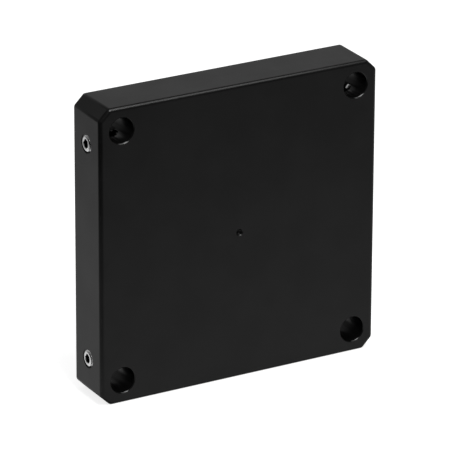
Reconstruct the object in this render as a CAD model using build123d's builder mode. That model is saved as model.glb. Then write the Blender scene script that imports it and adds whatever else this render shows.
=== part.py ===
from build123d import *

import os
from math import radians, sqrt, tan

# An optical cage plate without an aperture, for four rods on a square pattern.
# The frame has its origin on the optical axis at mid-thickness.
# +Z is up, +X is to the right of someone who looks at the front, and the front faces -Y.

# Plate
rod_spacing = 60.0  # side of the square that the four rod axes stand on
rod_edge_distance = 5.55  # from a rod axis to the nearest side of the plate
plate_thickness = 12.7
corner_cut = 2.5  # leg of the 45 degree cut across each corner
corner_round = 1.0  # radius where a cut runs into a side
edge_round = 0.9  # radius of the edges of both faces

# Rod bores
rod_diameter = 6.0
rod_clearance = 0.02  # radial
bore_rim_chamfer = 0.2

# Set screws and their tapped holes
screw_axis_offset = 4.1  # from a rod axis to its screw's axis, towards the plate's middle
screw_diameter = 3.96
screw_length = 4.0
thread_clearance = 0.05  # radial, between a screw and its hole
point_diameter = 2.0  # outside of the cup at the screw's tip
cup_diameter = 1.5
cup_depth = 0.4
head_chamfer = 0.3
socket_across_flats = 2.0
socket_depth = 1.8
tap_mouth_chamfer = 0.28
tap_past_bore = 0.45  # full depth of a screw hole beyond the far side of the bore

# Post hole in the bottom side, at the full diameter of its thread
post_thread_diameter = 4.0
post_hole_depth = 9.0
post_mouth_chamfer = 0.5

# Shallow drilled mark at the centre of the front face
centre_mark_diameter = 1.3
centre_mark_depth = 0.6
centre_mark_chamfer = 0.25

# Points of drills and sockets
drill_point_angle = 118.0

# Each screw at rest: how far it is backed off from its rod, and the angle of its socket in degrees
backed_off = {
    "upper_left": 0.56,
    "lower_left": 0.56,
    "upper_right": 0.03,
    "lower_right": 0.56,
}
socket_turn = {
    "upper_left": 30.0,
    "lower_left": 26.0,
    "upper_right": 12.0,
    "lower_right": 5.0,
}

plate_side = rod_spacing + 2 * rod_edge_distance
rod_radius = rod_diameter / 2
rod_bore_radius = rod_radius + rod_clearance
screw_radius = screw_diameter / 2
point_radius = point_diameter / 2
screw_hole_radius = screw_radius + thread_clearance
screw_hole_depth = rod_edge_distance + rod_bore_radius + tap_past_bore
screw_level = rod_spacing / 2 - screw_axis_offset

# How far out from the middle a screw's tip is when the 45 degree flank of its point bears on the rod
tip_at_contact = rod_spacing / 2 + sqrt(2) * rod_radius - (screw_axis_offset - point_radius)


def drilled_hole(radius, depth, mouth_chamfer):
    """Cutter for a blind hole: its mouth is at the origin and it runs down -Z to a drill point."""
    point_depth = radius / tan(radians(drill_point_angle / 2))
    with BuildPart() as cutter:
        with BuildSketch(Plane.XZ):
            with BuildLine():
                Polyline(
                    (0, 0),
                    (radius + mouth_chamfer, 0),
                    (radius, -mouth_chamfer),
                    (radius, -depth),
                    (0, -depth - point_depth),
                    close=True,
                )
            make_face()
        revolve(axis=Axis.Z)
    return cutter.part


# Name, side (-1 left, 1 right) and height (1 upper, -1 lower) of each set screw
screw_places = [
    (f"{height_name}_{side_name}", side, height)
    for side_name, side in (("left", -1), ("right", 1))
    for height_name, height in (("upper", 1), ("lower", -1))
]

screw_hole = drilled_hole(screw_hole_radius, screw_hole_depth, tap_mouth_chamfer)
post_hole = drilled_hole(post_thread_diameter / 2, post_hole_depth, post_mouth_chamfer)
centre_mark = drilled_hole(centre_mark_diameter / 2, centre_mark_depth, centre_mark_chamfer)

# The plate is milled from one block.
with BuildPart() as cage_plate:
    with BuildSketch(Plane.XZ.offset(-plate_thickness / 2)) as outline:
        Rectangle(plate_side, plate_side)
        chamfer(outline.vertices(), corner_cut)
        fillet(outline.vertices(), corner_round)
    extrude(amount=plate_thickness)
    back_face = cage_plate.faces().sort_by(Axis.Y)[-1]
    front_face = cage_plate.faces().sort_by(Axis.Y)[0]
    fillet(front_face.edges() + back_face.edges(), edge_round)

    # Rod bores, through the thickness, with a small chamfer on each rim
    with Locations(Plane.XZ.offset(plate_thickness / 2)):
        with GridLocations(rod_spacing, rod_spacing, 2, 2):
            Hole(rod_bore_radius, plate_thickness)
    bore_rims = cage_plate.edges().filter_by(lambda edge: edge.is_closed)
    chamfer(bore_rims, bore_rim_chamfer)

    # Screw holes from both sides: each one crosses the inner flank of its rod bore
    for place, side, height in screw_places:
        mouth = (side * plate_side / 2, 0, height * screw_level)
        with Locations(Plane(origin=mouth, z_dir=(side, 0, 0))):
            add(screw_hole, mode=Mode.SUBTRACT)

    with Locations(Plane(origin=(0, 0, -plate_side / 2), z_dir=(0, 0, -1))):
        add(post_hole, mode=Mode.SUBTRACT)
    with Locations(Plane(origin=(0, -plate_thickness / 2, 0), z_dir=(0, -1, 0))):
        add(centre_mark, mode=Mode.SUBTRACT)

os.makedirs("parts", exist_ok=True)
cage_plate.part.label = "cage_plate"
export_step(cage_plate.part, "parts/cage_plate.step")

# Set screws, headless, with a hexagon socket and a cup point
for place, side, height in screw_places:
    head_from_centre = tip_at_contact + backed_off[place] + screw_length
    head = Vector(side * head_from_centre, 0, height * screw_level)
    outward = Vector(side, 0, 0)
    with BuildPart() as set_screw:
        with BuildSketch(Plane(origin=head, x_dir=outward, z_dir=(0, -1, 0))):
            with BuildLine():
                Polyline(
                    (0, 0),
                    (0, screw_radius - head_chamfer),
                    (-head_chamfer, screw_radius),
                    (-screw_length + screw_radius - point_radius, screw_radius),
                    (-screw_length, point_radius),
                    (-screw_length, cup_diameter / 2),
                    (-screw_length + cup_depth, 0),
                    close=True,
                )
            make_face()
        revolve(axis=Axis(head, outward))
        with BuildSketch(Plane(origin=head, x_dir=(0, 1, 0), z_dir=outward)):
            RegularPolygon(
                socket_across_flats / 2,
                6,
                major_radius=False,
                rotation=socket_turn[place],
            )
        extrude(amount=-socket_depth, mode=Mode.SUBTRACT)
    set_screw.part.label = f"set_screw_{place}"
    export_step(set_screw.part, f"parts/set_screw_{place}.step")

print(f"plate {plate_side:.2f} x {plate_side:.2f} x {plate_thickness:.2f} mm")
print(f"a screw bears on its rod when its tip is {tip_at_contact:.3f} mm out from the centre")
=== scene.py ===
import math

import bmesh
import bpy
from mathutils import Matrix, Vector


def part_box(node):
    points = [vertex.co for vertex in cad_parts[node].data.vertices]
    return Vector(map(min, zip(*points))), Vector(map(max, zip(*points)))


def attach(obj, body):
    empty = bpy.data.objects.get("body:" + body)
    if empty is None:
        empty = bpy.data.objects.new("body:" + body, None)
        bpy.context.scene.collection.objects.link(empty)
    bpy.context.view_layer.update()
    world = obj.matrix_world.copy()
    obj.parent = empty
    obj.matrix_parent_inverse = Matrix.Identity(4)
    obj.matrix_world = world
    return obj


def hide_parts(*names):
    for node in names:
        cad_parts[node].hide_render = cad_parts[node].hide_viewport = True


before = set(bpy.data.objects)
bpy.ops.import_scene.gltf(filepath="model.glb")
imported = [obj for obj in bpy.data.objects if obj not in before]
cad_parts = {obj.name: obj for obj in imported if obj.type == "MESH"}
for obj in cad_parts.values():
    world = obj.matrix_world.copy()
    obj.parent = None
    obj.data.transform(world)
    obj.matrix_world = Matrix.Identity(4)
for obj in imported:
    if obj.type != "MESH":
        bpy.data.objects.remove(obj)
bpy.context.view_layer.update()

MM = 0.001
plate_low, plate_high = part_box("cage_plate")

# Camera, fitted to the edges of the plate in the photograph
PHOTO_SIDE_PX = 449
FOCAL_LENGTH_PX = 4585.4
SENSOR_WIDTH_MM = 36.0
CAMERA_AZIMUTH = math.radians(-29.522)
CAMERA_ELEVATION = math.radians(22.056)
CAMERA_ROLL = math.radians(0.241)
CAMERA_DISTANCE = 1038.64 * MM
AIM_POINT = Vector((-0.353, 0, -0.235)) * MM

# Plate
HALF_SIDE = plate_high.x
HALF_THICKNESS = plate_high.y
CORNER_CUT = 2.5 * MM
EDGE_ROUND = 0.9 * MM
BROKEN_EDGE = 0.12 * MM
ROD_AXIS = 30.0 * MM
ROD_BORE_RADIUS = 3.02 * MM
BORE_RIM_RADIUS = 3.22 * MM

# Tapped holes, M4 x 0.7: the screws', of which only the part past their reach shows, and the post's
THREAD_PITCH = 0.7 * MM
THREAD_STEPS_PER_TURN = 64
SCREW_LEVEL = 25.9 * MM
SCREW_HOLE_RADIUS = 2.03 * MM
SCREW_HOLE_END = 26.53 * MM
SCREW_REACH = 31.1 * MM
POST_HOLE_RADIUS = 2.0 * MM
POST_HOLE_DEPTH = 9.0 * MM
POST_MOUTH_CHAMFER = 0.5 * MM
TAP_CREST_HEIGHT = 0.36 * MM

# Set screws and their sockets
SCREW_PLACES = ("upper_left", "lower_left", "upper_right", "lower_right")
SCREW_RADIUS = 1.98 * MM
SCREW_LENGTH = 4.0 * MM
THREAD_DEPTH = 0.42 * MM
HEAD_CROWN = [
    (inward * MM, down * MM)
    for inward, down in ((0.6, 0), (0.42, 0.04), (0.26, 0.12), (0.12, 0.22), (0.02, 0.34))
]
POINT_RADIUS = 1.0 * MM
CUP_RADIUS = 0.75 * MM
CUP_DEPTH = 0.4 * MM
SOCKET_ACROSS_FLATS = 2.0 * MM
SOCKET_CORNER_RADIUS = SOCKET_ACROSS_FLATS / 2 / math.cos(math.pi / 6)
SOCKET_DEPTH = 1.8 * MM
SOCKET_LEAD_IN = 0.14 * MM
SOCKET_TURN = {
    "upper_left": math.radians(30),
    "lower_left": math.radians(26),
    "upper_right": math.radians(12),
    "lower_right": math.radians(5),
}
THREAD_START = {
    "upper_left": math.radians(-90),
    "lower_left": math.radians(-90),
    "upper_right": math.radians(60),
    "lower_right": math.radians(203),
}
HEAD_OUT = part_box("set_screw_lower_right")[1].x
UPPER_RIGHT_HEAD_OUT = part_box("set_screw_upper_right")[1].x

# Meshes
ROUND_STEPS = 96
SPARE_THREAD_TURNS = 2
WELD_DISTANCE = 0.0005 * MM
THREAD_WELD_DISTANCE = 0.002 * MM
PLATE_WELD_DISTANCE = 0.001 * MM
CUT_TOLERANCE = 0.0001 * MM
SMOOTH_LIMIT = math.radians(28)
FLAT_LIMIT = math.radians(0.5)
SHARP_LIMIT = math.radians(30)

# Black anodising: linear greys, roughness, and depths of its bumps
ANODISED_IOR = 1.285
FACE_GREYS = (0.0016, 0.0026)
# painted shade: the bore walls get a darker grey than the faces
BORE_WALL_SHADE_GREY = 0.0012
WORN_GREY = 0.012
WORN_SHARE = 0.5
FACE_ROUGHNESS = (0.37, 0.34)
ROUNDED_EDGE_ROUGHNESS = 0.29
BORE_WALL_ROUGHNESS = 0.28
BORE_RIM_ROUGHNESS = 0.17
BLAST_DEPTH = 0.004 * MM
BORING_MARK_DEPTH = 0.0015 * MM
TAPPED_GREYS = (0.0015, 0.0035)
TAPPED_ROUGHNESS = (0.24, 0.34)
TAPPED_GRAIN_DEPTH = 0.006 * MM

# Screw steel: linear greys, where the painted shade of a socket begins, roughness, and depths of its
# bumps
STEEL_GREYS = (0.76, 0.84)
WORN_STEEL_GREY = 0.9
# painted shade: the inside of the socket is coloured near black
SOCKET_SHADE_GREY = 0.008
SOCKET_SHADE_RADII = (1.17 * MM, 1.2 * MM)
SOCKET_SHADE_DEPTHS = (0.08 * MM, 0.2 * MM)
STEEL_ROUGHNESS = (0.16, 0.28)
TURNING_MARK_DEPTH = 0.022 * MM
STEEL_GRAIN_DEPTH = 0.002 * MM

# Studio: the floor, the light on matt surfaces, what reflections show of the room, and the lamps
FLOOR_HALF_WIDTH = 3.0
FLOOR_GAP = 0.02 * MM
FLOOR_GLOW = 0.8
FLOOR_SHADE_GREY = 0.4
FLOOR_BOUNCE_GREY = 0.8
ROOM_LIGHT = 0.5
DARK_STUDIO = 0.1
BACK_LIGHT_LEFT = 0.28
BACK_LIGHT_RIGHT = 0.425
SOFTBOXES = (  # name, centre, width, depth, power
    ("overhead_softbox", (-0.006, -0.135, 0.27), 0.13, 0.18, 1.1),
    ("right_softbox", (0.136, -0.085, 0.27), 0.1, 0.19, 0.28),
)


def side_of(place):
    """-1 for the left side of the plate, 1 for the right."""
    return -1 if place.endswith("left") else 1


def height_of(place):
    """1 for the upper half of the plate, -1 for the lower."""
    return 1 if place.startswith("upper") else -1


def link(obj):
    """Puts a new object into the scene and returns it."""
    bpy.context.scene.collection.objects.link(obj)
    return obj


def mesh_object(name, bm):
    """Makes an object of a finished bmesh, with its normals pointing outwards."""
    bmesh.ops.remove_doubles(bm, verts=bm.verts, dist=WELD_DISTANCE)
    bmesh.ops.recalc_face_normals(bm, faces=bm.faces)
    mesh = bpy.data.meshes.new(name)
    bm.to_mesh(mesh)
    bm.free()
    return link(bpy.data.objects.new(name, mesh))


def profile_chain(bm, points, closed=False):
    """Adds a chain of edges through (radius, height) points; returns its vertices and edges."""
    verts = [bm.verts.new((radius, 0, height)) for radius, height in points]
    ends = verts[1:] + verts[:1] if closed else verts[1:]
    edges = [bm.edges.new(pair) for pair in zip(verts, ends)]
    return verts + edges


def turned(name, points):
    """A closed solid of revolution about Z from its outline, which starts and ends on the axis."""
    bm = bmesh.new()
    bmesh.ops.spin(
        bm,
        geom=profile_chain(bm, points),
        cent=(0, 0, 0),
        axis=(0, 0, 1),
        dvec=(0, 0, 0),
        angle=2 * math.pi,
        steps=ROUND_STEPS,
        use_merge=True,
        use_duplicate=False,
    )
    return mesh_object(name, bm)


def wound(name, profile, turns, top, bottom, closed=False):
    """Winds a profile of (radius, height) points down -Z into a right-handed thread with flat ends."""
    bm = bmesh.new()
    bmesh.ops.spin(
        bm,
        geom=profile_chain(bm, profile, closed),
        cent=(0, 0, 0),
        axis=(0, 0, 1),
        dvec=(0, 0, -THREAD_PITCH / THREAD_STEPS_PER_TURN),
        angle=-2 * math.pi * turns,
        steps=turns * THREAD_STEPS_PER_TURN,
        use_merge=False,
        use_duplicate=False,
    )
    bmesh.ops.remove_doubles(bm, verts=bm.verts, dist=THREAD_WELD_DISTANCE)
    for height, direction in ((top, 1), (bottom, -1)):
        cut = bmesh.ops.bisect_plane(
            bm,
            geom=bm.verts[:] + bm.edges[:] + bm.faces[:],
            dist=CUT_TOLERANCE,
            plane_co=(0, 0, height),
            plane_no=(0, 0, direction),
            clear_outer=True,
        )
        rim = [e for e in cut["geom_cut"] if isinstance(e, bmesh.types.BMEdge)]
        bmesh.ops.contextual_create(bm, geom=rim)
    return mesh_object(name, bm)


def threaded_rod(name):
    """A rod about Z with a right-handed thread, a little longer than a screw at both ends."""
    root = SCREW_RADIUS - THREAD_DEPTH
    root_flat = THREAD_PITCH / 4
    crest_flat = THREAD_PITCH / 8
    flank = (THREAD_PITCH - root_flat - crest_flat) / 2
    start = SPARE_THREAD_TURNS * THREAD_PITCH
    turns = math.ceil(SCREW_LENGTH / THREAD_PITCH) + 2 * SPARE_THREAD_TURNS
    heights = (0, root_flat, root_flat + flank, root_flat + flank + crest_flat, THREAD_PITCH)
    radii = (root, root, SCREW_RADIUS, SCREW_RADIUS, root)
    profile = [(r, start - h) for r, h in zip(radii, heights)]
    spare = 0.1 * MM
    return wound(name, profile, turns, spare, -SCREW_LENGTH - spare)


def tapped_thread(name, radius, top, bottom):
    """The thread that a tap leaves in a hole about Z: a ridge that winds down the hole's wall."""
    buried = 0.02 * MM
    foot = radius + buried
    crest = radius - TAP_CREST_HEIGHT
    crest_flat = THREAD_PITCH / 4
    root_flat = THREAD_PITCH / 8
    flank = (THREAD_PITCH - crest_flat - root_flat) / 2
    start = top + SPARE_THREAD_TURNS * THREAD_PITCH
    turns = math.ceil((top - bottom) / THREAD_PITCH) + 2 * SPARE_THREAD_TURNS
    heights = (0, flank, flank + crest_flat, 2 * flank + crest_flat)
    profile = [(r, start - h) for r, h in zip((foot, crest, crest, foot), heights)]
    return wound(name, profile, turns, top, bottom, closed=True)


def socket_cutter(name, turn):
    """The hexagon socket's volume about Z, from just above the head down to its floor."""
    above = 0.2 * MM
    bm = bmesh.new()
    made = bmesh.ops.create_cone(
        bm,
        cap_ends=True,
        segments=6,
        radius1=SOCKET_CORNER_RADIUS,
        radius2=SOCKET_CORNER_RADIUS,
        depth=SOCKET_DEPTH + above,
    )
    bmesh.ops.translate(bm, verts=made["verts"], vec=(0, 0, (above - SOCKET_DEPTH) / 2))
    bmesh.ops.rotate(bm, verts=bm.verts, cent=(0, 0, 0), matrix=Matrix.Rotation(turn, 3, "Z"))
    return mesh_object(name, bm)


def rod_bore_cutter(name, side, height):
    """The volume of one rod bore, longer than the plate is thick."""
    bm = bmesh.new()
    bmesh.ops.create_cone(
        bm,
        cap_ends=True,
        segments=2 * ROUND_STEPS,
        radius1=ROD_BORE_RADIUS,
        radius2=ROD_BORE_RADIUS,
        depth=4 * HALF_THICKNESS,
    )
    bmesh.ops.rotate(bm, verts=bm.verts, cent=(0, 0, 0), matrix=Matrix.Rotation(math.pi / 2, 3, "X"))
    bmesh.ops.translate(bm, verts=bm.verts, vec=(side * ROD_AXIS, 0, height * ROD_AXIS))
    return mesh_object(name, bm)


def combine(target, tool, operation):
    """Applies an exact Boolean of tool to target, and removes the tool."""
    modifier = target.modifiers.new("cut", "BOOLEAN")
    modifier.operation = operation
    modifier.solver = "EXACT"
    modifier.object = tool
    graph = bpy.context.evaluated_depsgraph_get()
    mesh = bpy.data.meshes.new_from_object(target.evaluated_get(graph))
    target.modifiers.clear()
    target.data = mesh
    bpy.data.objects.remove(tool)


def smooth_by_angle(obj, limit):
    """Smooth shading, with a sharp edge wherever two faces meet at more than the limit."""
    bm = bmesh.new()
    bm.from_mesh(obj.data)
    bmesh.ops.remove_doubles(bm, verts=bm.verts, dist=WELD_DISTANCE)
    for face in bm.faces:
        face.smooth = True
    for edge in bm.edges:
        edge.smooth = len(edge.link_faces) == 2 and edge.calc_face_angle(math.pi) < limit
    bm.to_mesh(obj.data)
    bm.free()


def facing(side):
    """Turns +Z to a side of the plate, and +X to its back."""
    axis = Vector((side, 0, 0))
    back = Vector((0, 1, 0))
    return Matrix((back, axis.cross(back), axis)).transposed().to_4x4()


def finish_piece(obj, material, body):
    """Gives a new piece its smooth shading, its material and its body."""
    smooth_by_angle(obj, SMOOTH_LIMIT)
    obj.data.materials.clear()
    obj.data.materials.append(material)
    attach(obj, body)


def screw_blank():
    """A threaded length with a crowned head and a cup point, still without its socket."""
    blank = threaded_rod("screw_blank")
    clear = 0.01 * MM
    outside = SCREW_RADIUS + clear
    envelope = turned(
        "envelope",
        [
            (0, 0),
            *[(SCREW_RADIUS - inward, -down) for inward, down in HEAD_CROWN],
            (outside, -HEAD_CROWN[-1][1]),
            (outside, -SCREW_LENGTH + SCREW_RADIUS - POINT_RADIUS),
            (POINT_RADIUS, -SCREW_LENGTH),
            (CUP_RADIUS, -SCREW_LENGTH),
            (0, -SCREW_LENGTH + CUP_DEPTH),
        ],
    )
    combine(blank, envelope, "INTERSECT")
    lead_in = turned(
        "lead_in",
        [
            (0, SOCKET_LEAD_IN),
            (SOCKET_CORNER_RADIUS + SOCKET_LEAD_IN, SOCKET_LEAD_IN),
            (SOCKET_CORNER_RADIUS - SOCKET_LEAD_IN, -SOCKET_LEAD_IN),
            (0, -SOCKET_LEAD_IN),
        ],
    )
    combine(blank, lead_in, "DIFFERENCE")
    return blank


def set_screw(place, blank, steel):
    """One set screw, turned to its own thread start and socket angle and put in its place."""
    node = f"set_screw_{place}"
    low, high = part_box(node)
    screw = link(bpy.data.objects.new(f"threaded_{node}", blank.data.copy()))
    screw.data.transform(Matrix.Rotation(THREAD_START[place], 4, "Z"))
    combine(screw, socket_cutter("socket", SOCKET_TURN[place]), "DIFFERENCE")
    side = side_of(place)
    head = (low + high) / 2
    head.x = high.x if side > 0 else low.x
    screw.data.transform(Matrix.Translation(head) @ facing(side))
    finish_piece(screw, steel, f"screw_{place}")
    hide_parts(node)


def screw_hole_thread(place, black):
    """The thread in a screw's hole past the screw's reach, cut away where the rod bore crosses it."""
    side, height = side_of(place), height_of(place)
    top, bottom = SCREW_REACH - ROD_AXIS, SCREW_HOLE_END - ROD_AXIS
    thread = tapped_thread(f"screw_hole_thread_{place}", SCREW_HOLE_RADIUS, top, bottom)
    seat = Vector((side * ROD_AXIS, 0, height * SCREW_LEVEL))
    thread.data.transform(Matrix.Translation(seat) @ facing(side))
    combine(thread, rod_bore_cutter("rod_bore", side, height), "DIFFERENCE")
    finish_piece(thread, black, "plate")


def post_hole_thread(black):
    """The thread in the post hole, up from the chamfer at its mouth."""
    thread = tapped_thread("post_hole_thread", POST_HOLE_RADIUS, -POST_MOUTH_CHAMFER, -POST_HOLE_DEPTH)
    downwards = Matrix.Rotation(math.pi, 4, "X")
    thread.data.transform(Matrix.Translation((0, 0, plate_low.z)) @ downwards)
    finish_piece(thread, black, "plate")


def dress_plate(black):
    """Blackens the plate, and breaks the edges that its solid leaves sharp."""
    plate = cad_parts["cage_plate"]
    plate.data.materials.clear()
    plate.data.materials.append(black)
    weld = plate.modifiers.new("weld", "WELD")
    weld.merge_threshold = PLATE_WELD_DISTANCE
    flat = plate.modifiers.new("merge_flat_faces", "DECIMATE")
    flat.decimate_type = "DISSOLVE"
    flat.angle_limit = FLAT_LIMIT
    edges = plate.modifiers.new("broken_edges", "BEVEL")
    edges.width = BROKEN_EDGE
    edges.segments = 3
    edges.limit_method = "ANGLE"
    edges.angle_limit = SHARP_LIMIT
    edges.harden_normals = True


def grey(level):
    """A grey of one level as a colour."""
    return (level, level, level, 1)


def feed(tree, socket, value):
    """Links an output to a socket, or sets the socket to a constant."""
    if isinstance(value, bpy.types.NodeSocket):
        tree.links.new(value, socket)
    else:
        socket.default_value = value


def add_node(tree, kind, settings=None, **inputs):
    """A shader node with its settings and its inputs, which are constants or links."""
    node = tree.nodes.new(kind)
    for name, value in (settings or {}).items():
        setattr(node, name, value)
    for name, value in inputs.items():
        feed(tree, node.inputs[name.replace("_", " ")], value)
    return node


def calc(tree, operation, *values):
    """The output of a Math node."""
    node = tree.nodes.new("ShaderNodeMath")
    node.operation = operation
    for socket, value in zip(node.inputs, values):
        feed(tree, socket, value)
    return node.outputs[0]


def ramp(tree, value, start, end, low=0.0, high=1.0):
    """A smooth change from low to high while the value goes from start to end."""
    node = tree.nodes.new("ShaderNodeMapRange")
    node.interpolation_type = "SMOOTHSTEP"
    for name, setting in (
        ("Value", value),
        ("From Min", start),
        ("From Max", end),
        ("To Min", low),
        ("To Max", high),
    ):
        feed(tree, node.inputs[name], setting)
    return node.outputs["Result"]


def mixed(tree, factor, first, second):
    """A number between two numbers."""
    node = add_node(tree, "ShaderNodeMix", {"data_type": "FLOAT"})
    feed(tree, node.inputs[0], factor)
    feed(tree, node.inputs[2], first)
    feed(tree, node.inputs[3], second)
    return node.outputs[0]


def mixed_colour(tree, factor, first, second):
    """A colour between two colours; a plain number stands for that grey."""
    node = add_node(tree, "ShaderNodeMix", {"data_type": "RGBA"})
    feed(tree, node.inputs[0], factor)
    for socket, colour in ((node.inputs[6], first), (node.inputs[7], second)):
        feed(tree, socket, grey(colour) if isinstance(colour, float) else colour)
    return node.outputs[2]


def diagonal(tree, first, second):
    """The length of the diagonal over two lengths."""
    squares = [calc(tree, "MULTIPLY", length, length) for length in (first, second)]
    return calc(tree, "SQRT", calc(tree, "ADD", *squares))


def along(tree, place, direction):
    """How far a place lies in a direction."""
    node = add_node(tree, "ShaderNodeVectorMath", {"operation": "DOT_PRODUCT"})
    feed(tree, node.inputs[0], place)
    node.inputs[1].default_value = direction
    return node.outputs["Value"]


def new_material(name):
    """A node material with only its output; returns the material, its tree and the output."""
    material = bpy.data.materials.new(name)
    material.use_nodes = True
    tree = material.node_tree
    tree.nodes.clear()
    return material, tree, tree.nodes.new("ShaderNodeOutputMaterial")


def new_group(name, vectors, numbers, outputs):
    """A shader node group with its sockets; returns it with its input and output nodes."""
    group = bpy.data.node_groups.new(name, "ShaderNodeTree")
    for socket in vectors:
        group.interface.new_socket(socket, in_out="INPUT", socket_type="NodeSocketVector")
    for socket in numbers:
        group.interface.new_socket(socket, in_out="INPUT", socket_type="NodeSocketFloat")
    for socket in outputs:
        group.interface.new_socket(socket, in_out="OUTPUT", socket_type="NodeSocketFloat")
    return group, group.nodes.new("NodeGroupInput"), group.nodes.new("NodeGroupOutput")


def noise(tree, place, size, detail):
    """Noise from 0 to 1 with cells of about one size."""
    scaled = add_node(tree, "ShaderNodeVectorMath", {"operation": "SCALE"}, Vector=place)
    feed(tree, scaled.inputs["Scale"], calc(tree, "DIVIDE", 1.0, size))
    return add_node(
        tree, "ShaderNodeTexNoise", Vector=scaled.outputs[0], Scale=1.0, Detail=detail
    ).outputs["Fac"]


def surface_grain_group():
    """Fine grain of a blasted or etched surface: its height, and slow cloudy patches."""
    group, start, end = new_group(
        "surface_grain", ("Place",), ("Grain", "Patches"), ("Height", "Clouding")
    )
    place = start.outputs["Place"]
    feed(group, end.inputs["Height"], noise(group, place, start.outputs["Grain"], 3.0))
    clouds = noise(group, place, start.outputs["Patches"], 4.0)
    feed(group, end.inputs["Clouding"], ramp(group, clouds, 0.3, 0.7))
    return group


def tool_marks_group():
    """Uneven parallel marks of a cutting tool, one for each step of a distance across them."""
    group, start, end = new_group("tool_marks", (), ("Distance", "Step"), ("Height",))
    steps = calc(group, "DIVIDE", start.outputs["Distance"], start.outputs["Step"])
    marks = add_node(
        group, "ShaderNodeTexNoise", {"noise_dimensions": "1D"}, W=steps, Scale=1.0, Detail=2.0
    )
    feed(group, end.inputs["Height"], marks.outputs["Fac"])
    return group


def edge_wear_group():
    """A broken line of rubbed spots within a width of an edge."""
    group, start, end = new_group(
        "edge_wear", ("Place",), ("Edge Distance", "Width", "Spots"), ("Mask",)
    )
    near = ramp(group, start.outputs["Edge Distance"], 0.0, start.outputs["Width"], 1.0, 0.0)
    uneven = noise(group, start.outputs["Place"], start.outputs["Spots"], 3.0)
    spots = ramp(group, uneven, 0.56, 0.68)
    feed(group, end.inputs["Mask"], calc(group, "MULTIPLY", near, spots))
    return group


def place_group(tree, group, **inputs):
    """Places a node group in a material with its own values."""
    return add_node(tree, "ShaderNodeGroup", {"node_tree": group}, **inputs)


def bump(tree, height, distance, under=None):
    """A normal from a height between 0 and 1 that stands for a distance, on top of another bump."""
    node = add_node(tree, "ShaderNodeBump", Height=height, Distance=distance)
    if under:
        feed(tree, node.inputs["Normal"], under)
    return node.outputs["Normal"]


def plate_places(tree, split):
    """Masks for bore walls, bore rims and rounded edges, and the distance from an edge's crest."""
    across = calc(tree, "ABSOLUTE", split.outputs["X"])
    deep = calc(tree, "ABSOLUTE", split.outputs["Y"])
    up = calc(tree, "ABSOLUTE", split.outputs["Z"])
    from_axis = diagonal(
        tree, calc(tree, "SUBTRACT", across, ROD_AXIS), calc(tree, "SUBTRACT", up, ROD_AXIS)
    )
    blend = 0.03 * MM
    wall_end = ROD_BORE_RADIUS + blend
    rim_end = BORE_RIM_RADIUS + 0.02 * MM
    wall = ramp(tree, from_axis, wall_end, wall_end + blend, 1.0, 0.0)
    rim = calc(
        tree,
        "MULTIPLY",
        ramp(tree, from_axis, ROD_BORE_RADIUS, wall_end),
        ramp(tree, from_axis, rim_end, rim_end + blend, 1.0, 0.0),
    )
    from_sides = calc(
        tree,
        "MINIMUM",
        calc(tree, "SUBTRACT", HALF_SIDE, across),
        calc(tree, "SUBTRACT", HALF_SIDE, up),
    )
    to_corner = calc(tree, "SUBTRACT", 2 * HALF_SIDE - CORNER_CUT, calc(tree, "ADD", across, up))
    from_outline = calc(tree, "MINIMUM", from_sides, calc(tree, "DIVIDE", to_corner, math.sqrt(2)))
    from_faces = calc(tree, "SUBTRACT", HALF_THICKNESS, deep)
    inward = calc(tree, "MAXIMUM", from_outline, from_faces)
    round_blend = 0.3 * MM
    crest = EDGE_ROUND * (1 - math.sqrt(0.5))
    rounded = ramp(tree, inward, EDGE_ROUND - round_blend, EDGE_ROUND, 1.0, 0.0)
    from_crest = calc(tree, "SUBTRACT", inward, crest)
    return wall, rim, rounded, from_crest


def anodised_material(groups):
    """Black anodised aluminium: a blasted satin grain, smoother on rounded edges and in bores, with
    painted shade darkening the bore walls.
    """
    material, tree, output = new_material("black_anodised_aluminium")
    place = add_node(tree, "ShaderNodeTexCoord").outputs["Object"]
    split = add_node(tree, "ShaderNodeSeparateXYZ", Vector=place)
    wall, rim, rounded, from_crest = plate_places(tree, split)
    grain = place_group(tree, groups["surface_grain"], Place=place, Grain=0.11 * MM, Patches=9.0 * MM)
    marks = place_group(tree, groups["tool_marks"], Distance=split.outputs["Y"], Step=0.18 * MM)
    wear = place_group(
        tree, groups["edge_wear"], Place=place, Edge_Distance=from_crest, Width=0.15 * MM, Spots=0.9 * MM
    )
    clouding = grain.outputs["Clouding"]
    black = mixed_colour(tree, clouding, *FACE_GREYS)
    # painted shade: bore walls darker than the faces around them
    black = mixed_colour(tree, wall, black, BORE_WALL_SHADE_GREY)
    worn = calc(tree, "MULTIPLY", wear.outputs["Mask"], WORN_SHARE)
    black = mixed_colour(tree, worn, black, WORN_GREY)
    rough = mixed(tree, clouding, *FACE_ROUGHNESS)
    rough = mixed(tree, rounded, rough, ROUNDED_EDGE_ROUGHNESS)
    rough = mixed(tree, wall, rough, BORE_WALL_ROUGHNESS)
    rough = mixed(tree, rim, rough, BORE_RIM_ROUGHNESS)
    blasted = bump(tree, grain.outputs["Height"], BLAST_DEPTH)
    bored = calc(tree, "MULTIPLY", marks.outputs["Height"], wall)
    normal = bump(tree, bored, BORING_MARK_DEPTH, blasted)
    shader = add_node(tree, "ShaderNodeBsdfPrincipled", Base_Color=black, Roughness=rough, Normal=normal)
    shader.inputs["IOR"].default_value = ANODISED_IOR
    tree.links.new(shader.outputs["BSDF"], output.inputs["Surface"])
    return material


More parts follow.
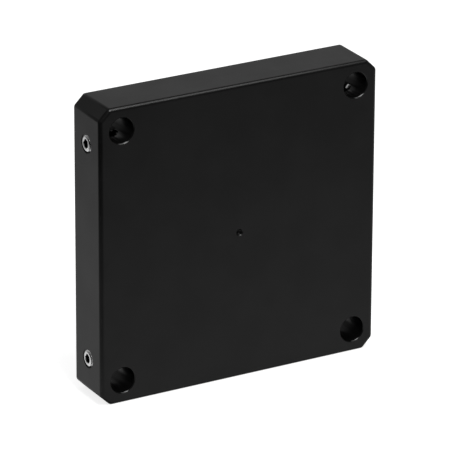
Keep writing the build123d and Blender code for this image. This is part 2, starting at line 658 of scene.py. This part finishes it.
def tapped_material(groups):
    """Black anodised thread, as the tap left it."""
    material, tree, output = new_material("black_anodised_thread")
    place = add_node(tree, "ShaderNodeTexCoord").outputs["Object"]
    grain = place_group(tree, groups["surface_grain"], Place=place, Grain=0.06 * MM, Patches=1.5 * MM)
    clouding = grain.outputs["Clouding"]
    black = mixed_colour(tree, clouding, *TAPPED_GREYS)
    rough = mixed(tree, clouding, *TAPPED_ROUGHNESS)
    normal = bump(tree, grain.outputs["Height"], TAPPED_GRAIN_DEPTH)
    shader = add_node(tree, "ShaderNodeBsdfPrincipled", Base_Color=black, Roughness=rough, Normal=normal)
    shader.inputs["IOR"].default_value = ANODISED_IOR
    tree.links.new(shader.outputs["BSDF"], output.inputs["Surface"])
    return material


def screw_distances(tree, split):
    """Distances on a screw: from its axis, and down from its head."""
    up = calc(tree, "SUBTRACT", calc(tree, "ABSOLUTE", split.outputs["Z"]), SCREW_LEVEL)
    radius = diagonal(tree, split.outputs["Y"], up)
    right = calc(tree, "GREATER_THAN", split.outputs["X"], 0.0)
    upper = calc(tree, "GREATER_THAN", split.outputs["Z"], 0.0)
    head = mixed(tree, calc(tree, "MULTIPLY", right, upper), HEAD_OUT, UPPER_RIGHT_HEAD_OUT)
    depth = calc(tree, "SUBTRACT", head, calc(tree, "ABSOLUTE", split.outputs["X"]))
    return radius, depth


def steel_material(groups):
    """Bright stainless steel, turned on its head, with painted shade down in its socket."""
    material, tree, output = new_material("screw_steel")
    place = add_node(tree, "ShaderNodeTexCoord").outputs["Object"]
    split = add_node(tree, "ShaderNodeSeparateXYZ", Vector=place)
    radius, depth = screw_distances(tree, split)
    # mask of the painted shade inside the hexagon socket
    socket = calc(
        tree,
        "MULTIPLY",
        ramp(tree, radius, *SOCKET_SHADE_RADII, 1.0, 0.0),
        ramp(tree, depth, *SOCKET_SHADE_DEPTHS),
    )
    grain = place_group(tree, groups["surface_grain"], Place=place, Grain=0.05 * MM, Patches=0.6 * MM)
    rings = place_group(tree, groups["tool_marks"], Distance=radius, Step=0.05 * MM)
    from_crest = calc(tree, "ABSOLUTE", calc(tree, "SUBTRACT", radius, SCREW_RADIUS))
    wear = place_group(
        tree, groups["edge_wear"], Place=place, Edge_Distance=from_crest, Width=0.12 * MM, Spots=0.3 * MM
    )
    steel = mixed_colour(tree, grain.outputs["Clouding"], *STEEL_GREYS)
    steel = mixed_colour(tree, wear.outputs["Mask"], steel, WORN_STEEL_GREY)
    # painted shade: the socket darkened towards black
    steel = mixed_colour(tree, socket, steel, SOCKET_SHADE_GREY)
    rough = mixed(tree, rings.outputs["Height"], *STEEL_ROUGHNESS)
    turned_face = bump(tree, rings.outputs["Height"], TURNING_MARK_DEPTH)
    normal = bump(tree, grain.outputs["Height"], STEEL_GRAIN_DEPTH, turned_face)
    shader = add_node(tree, "ShaderNodeBsdfPrincipled", Base_Color=steel, Roughness=rough, Normal=normal)
    shader.inputs["Metallic"].default_value = 1.0
    tree.links.new(shader.outputs["BSDF"], output.inputs["Surface"])
    return material


def ray_kinds(tree):
    """Two outputs: 1 for what the camera sees directly, and 1 for what reflections show."""
    path = tree.nodes.new("ShaderNodeLightPath")
    mirrored = calc(
        tree, "MAXIMUM", path.outputs["Is Glossy Ray"], path.outputs["Is Transmission Ray"]
    )
    return path.outputs["Is Camera Ray"], mirrored


def either_shader(tree, factor, first, second):
    """The first shader where the factor is 0, and the second where it is 1."""
    mix = tree.nodes.new("ShaderNodeMixShader")
    feed(tree, mix.inputs[0], factor)
    tree.links.new(first.outputs[0], mix.inputs[1])
    tree.links.new(second.outputs[0], mix.inputs[2])
    return mix


def floor_in_gloss(tree, place):
    """How bright the floor looks in reflections, painted into its glow: less to the front left, least
    close to the plate, where a painted shadow falls.
    """
    split = add_node(tree, "ShaderNodeSeparateXYZ", Vector=place)
    beside = calc(tree, "SUBTRACT", calc(tree, "ABSOLUTE", split.outputs["X"]), HALF_SIDE)
    before = calc(tree, "SUBTRACT", calc(tree, "ABSOLUTE", split.outputs["Y"]), HALF_THICKNESS)
    from_plate = calc(tree, "MAXIMUM", beside, before)
    leftward = along(tree, place, (-1, 0, 0))
    front_left = along(tree, place, (-0.9, -0.44, 0))
    back = along(tree, place, (0, 1, 0))
    level = 1.0
    for ground, start, end, level_at_start, level_at_end in (
        (back, -0.22, -0.03, 0.31, 0.93),
        (back, 0.05, 0.2, 1.0, 0.72),
        # painted shadow of the plate on the floor to its left
        (leftward, 0.02, 0.04, 1.0, 0.8),
        (leftward, 0.045, 0.08, 1.0, 1.12),
        (front_left, 0.045, 0.065, 1.0, 0.6),
        (front_left, 0.1, 0.185, 1.0, 0.02),
        # painted contact shadow close to the plate
        (from_plate, -0.4 * MM, 1.2 * MM, 0.2, 1.0),
    ):
        change = ramp(tree, ground, start, end, level_at_start, level_at_end)
        level = calc(tree, "MULTIPLY", level, change)
    return level


def floor_material():
    """White floor that keeps the soft shadow of what stands on it."""
    material, tree, output = new_material("studio_floor")
    place = add_node(tree, "ShaderNodeTexCoord").outputs["Object"]
    camera, mirrored = ray_kinds(tree)
    white = add_node(tree, "ShaderNodeEmission", Strength=FLOOR_GLOW)
    shade = add_node(tree, "ShaderNodeBsdfDiffuse", Color=grey(FLOOR_SHADE_GREY))
    seen = tree.nodes.new("ShaderNodeAddShader")
    tree.links.new(white.outputs[0], seen.inputs[0])
    tree.links.new(shade.outputs[0], seen.inputs[1])
    bounce = add_node(tree, "ShaderNodeBsdfDiffuse", Color=grey(FLOOR_BOUNCE_GREY))
    reflected = add_node(tree, "ShaderNodeEmission", Strength=floor_in_gloss(tree, place))
    mix = either_shader(tree, mirrored, either_shader(tree, camera, bounce, seen), reflected)
    tree.links.new(mix.outputs[0], output.inputs["Surface"])
    return material


def make_world():
    """White to the camera, grey to matt surfaces, and in reflections dark with low light behind."""
    world = bpy.data.worlds.new("studio")
    world.use_nodes = True
    bpy.context.scene.world = world
    tree = world.node_tree
    tree.nodes.clear()
    output = tree.nodes.new("ShaderNodeOutputWorld")
    direction = add_node(tree, "ShaderNodeTexCoord").outputs["Generated"]
    split = add_node(tree, "ShaderNodeSeparateXYZ", Vector=direction)
    behind = ramp(tree, split.outputs["Y"], -0.2, 0.5)
    low = ramp(tree, split.outputs["Z"], 0.35, 0.8, 1.0, 0.0)
    rightward = ramp(tree, split.outputs["X"], -0.4, 0.4, BACK_LIGHT_LEFT, BACK_LIGHT_RIGHT)
    far_left = ramp(tree, split.outputs["X"], -0.5, -0.35, 0.35, 1.0)
    across = calc(tree, "MULTIPLY", rightward, far_left)
    back_light = calc(tree, "MULTIPLY", across, calc(tree, "MULTIPLY", behind, low))
    sky = calc(tree, "ADD", DARK_STUDIO, back_light)
    camera, mirrored = ray_kinds(tree)
    light = add_node(tree, "ShaderNodeBackground", Strength=ROOM_LIGHT)
    white = add_node(tree, "ShaderNodeBackground", Strength=1.0)
    studio = add_node(tree, "ShaderNodeBackground", Strength=sky)
    for background in (light, white, studio):
        background.inputs["Color"].default_value = grey(1.0)
    mix = either_shader(tree, mirrored, either_shader(tree, camera, light, white), studio)
    tree.links.new(mix.outputs[0], output.inputs["Surface"])


def make_floor():
    """A wide floor just under the plate's bottom side."""
    bm = bmesh.new()
    bmesh.ops.create_grid(bm, x_segments=1, y_segments=1, size=FLOOR_HALF_WIDTH)
    bmesh.ops.translate(bm, verts=bm.verts, vec=(0, 0, plate_low.z - FLOOR_GAP))
    floor = mesh_object("floor", bm)
    floor.data.materials.append(floor_material())


def softbox(name, centre, width, depth, power):
    """A large soft lamp above the plate that looks down at it, its width along X."""
    data = bpy.data.lights.new(name, "AREA")
    data.shape = "RECTANGLE"
    data.size = width
    data.size_y = depth
    data.energy = power
    lamp = link(bpy.data.objects.new(name, data))
    lamp.location = centre
    lamp.rotation_euler = (math.atan2(-centre[1], centre[2]), 0, 0)


def make_camera():
    """The photograph's camera: a long lens, slightly rolled, with no shift."""
    azimuth, elevation = CAMERA_AZIMUTH, CAMERA_ELEVATION
    back = Vector(
        (
            math.sin(azimuth) * math.cos(elevation),
            -math.cos(azimuth) * math.cos(elevation),
            math.sin(elevation),
        )
    )
    right = Vector((math.cos(azimuth), math.sin(azimuth), 0))
    up = back.cross(right)
    rolled_right = math.cos(CAMERA_ROLL) * right + math.sin(CAMERA_ROLL) * up
    rolled_up = back.cross(rolled_right)
    data = bpy.data.cameras.new("camera")
    data.sensor_width = SENSOR_WIDTH_MM
    data.lens = SENSOR_WIDTH_MM * FOCAL_LENGTH_PX / PHOTO_SIDE_PX
    data.clip_start = CAMERA_DISTANCE / 10
    data.clip_end = CAMERA_DISTANCE * 10
    camera = link(bpy.data.objects.new("camera", data))
    turn = Matrix((rolled_right, rolled_up, back)).transposed().to_4x4()
    camera.matrix_world = Matrix.Translation(AIM_POINT + back * CAMERA_DISTANCE) @ turn
    bpy.context.scene.camera = camera


groups = {
    "surface_grain": surface_grain_group(),
    "tool_marks": tool_marks_group(),
    "edge_wear": edge_wear_group(),
}
dress_plate(anodised_material(groups))
thread_black = tapped_material(groups)
steel = steel_material(groups)
blank = screw_blank()
for place in SCREW_PLACES:
    set_screw(place, blank, steel)
    screw_hole_thread(place, thread_black)
bpy.data.objects.remove(blank)
post_hole_thread(thread_black)

make_world()
make_floor()
for lamp in SOFTBOXES:
    softbox(*lamp)
make_camera()
bpy.context.scene.view_settings.view_transform = "Standard"
